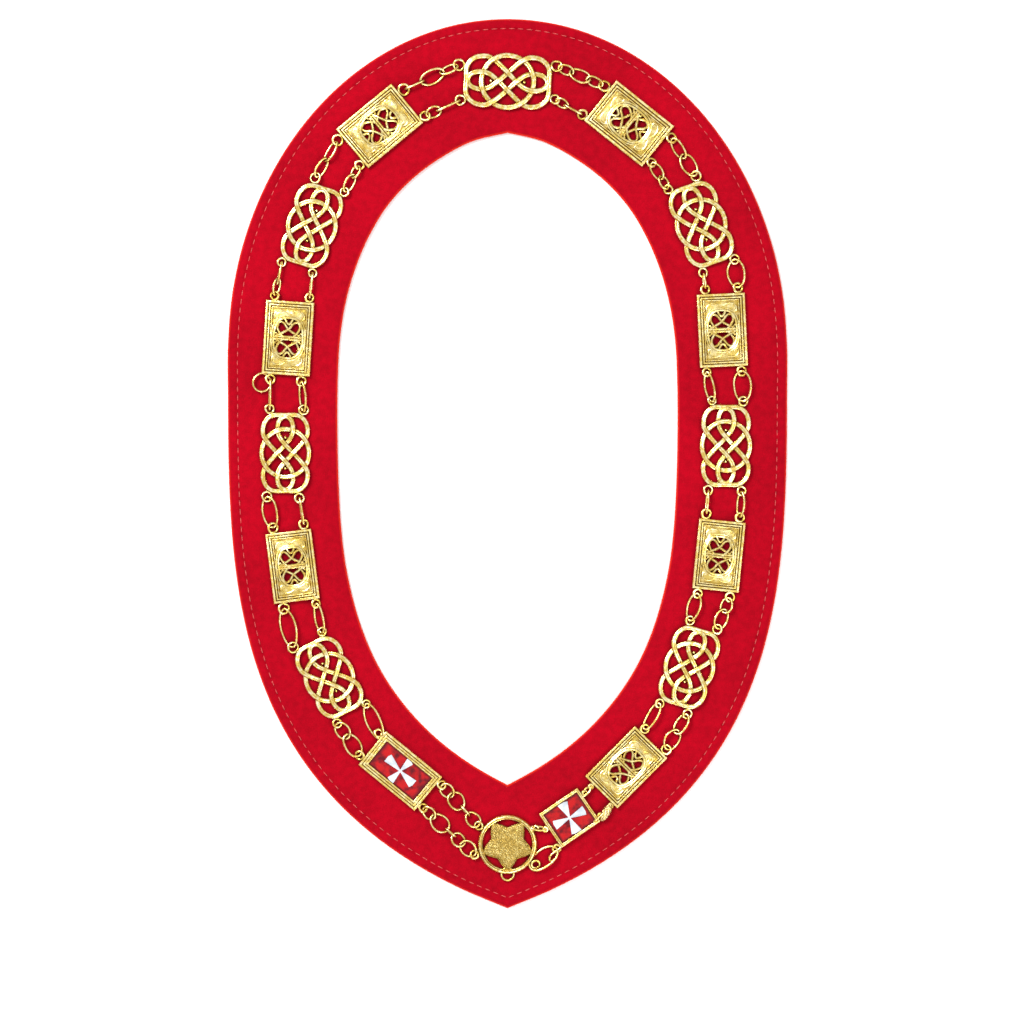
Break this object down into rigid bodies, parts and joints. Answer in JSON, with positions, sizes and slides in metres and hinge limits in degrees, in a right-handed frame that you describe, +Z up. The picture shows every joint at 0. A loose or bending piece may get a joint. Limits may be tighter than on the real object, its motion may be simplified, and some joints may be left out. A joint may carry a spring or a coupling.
{
  "type": "masonic chain collar",
  "caption": "Red velvet regalia collar with two rows of gilt chain linking pierced knot and scroll plaques, enamelled cross plaques and a star medallion, shown lying flat.",
  "frame": {"origin": "middle of the collar's flat back, on the surface that it lies on", "axes": "+Z up out of the face, +Y to the back of the neck, -Y to the tip on the breast, +X to the right of the picture"},
  "size_m": [0.327, 0.52, 0.0087],
  "materials": {
    "velvet": "red cotton velvet, short dense pile, stitched near the outer edge",
    "gilt": "bright gilt on cast and wire metal, browned in the hollows",
    "red_enamel": "glossy red enamel",
    "white_enamel": "glossy white enamel"
  },
  "bodies": {
    "root": {"velvet_collar": "velvet", "knot_top": "gilt", "knot_right_1": "gilt", "knot_right_2": "gilt", "knot_right_3": "gilt", "knot_left_1": "gilt", "knot_left_2": "gilt", "knot_left_3": "gilt", "scroll_right_1": "gilt", "scroll_right_2": "gilt", "scroll_right_3": "gilt", "scroll_right_4": "gilt", "scroll_left_1": "gilt", "scroll_left_2": "gilt", "scroll_left_3": "gilt", "cross_left": "gilt", "cross_right": "gilt", "medallion": "gilt", "cross_left_red_enamel": "red_enamel", "cross_left_white_cross": "white_enamel", "cross_right_red_enamel": "red_enamel", "cross_right_white_cross": "white_enamel", "chain_right_1_outer": "gilt", "chain_right_1_inner": "gilt", "chain_right_2_outer": "gilt", "chain_right_2_inner": "gilt", "chain_right_3_outer": "gilt", "chain_right_3_inner": "gilt", "chain_right_4_outer": "gilt", "chain_right_4_inner": "gilt", "chain_right_5_outer": "gilt", "chain_right_5_inner": "gilt", "chain_right_6_outer": "gilt", "chain_right_6_inner": "gilt", "chain_right_7_outer": "gilt", "chain_right_7_inner": "gilt", "chain_right_8_outer": "gilt", "chain_right_8_inner": "gilt", "chain_right_9_outer": "gilt", "chain_right_9_inner": "gilt", "chain_left_1_outer": "gilt", "chain_left_1_inner": "gilt", "chain_left_2_outer": "gilt", "chain_left_2_inner": "gilt", "chain_left_3_outer": "gilt", "chain_left_3_inner": "gilt", "chain_left_4_outer": "gilt", "chain_left_4_inner": "gilt", "chain_left_5_outer": "gilt", "chain_left_5_inner": "gilt", "chain_left_6_outer": "gilt", "chain_left_6_inner": "gilt", "chain_left_7_outer": "gilt", "chain_left_7_inner": "gilt", "chain_left_8_outer": "gilt", "chain_left_8_inner": "gilt"}
  },
  "joints": []
}
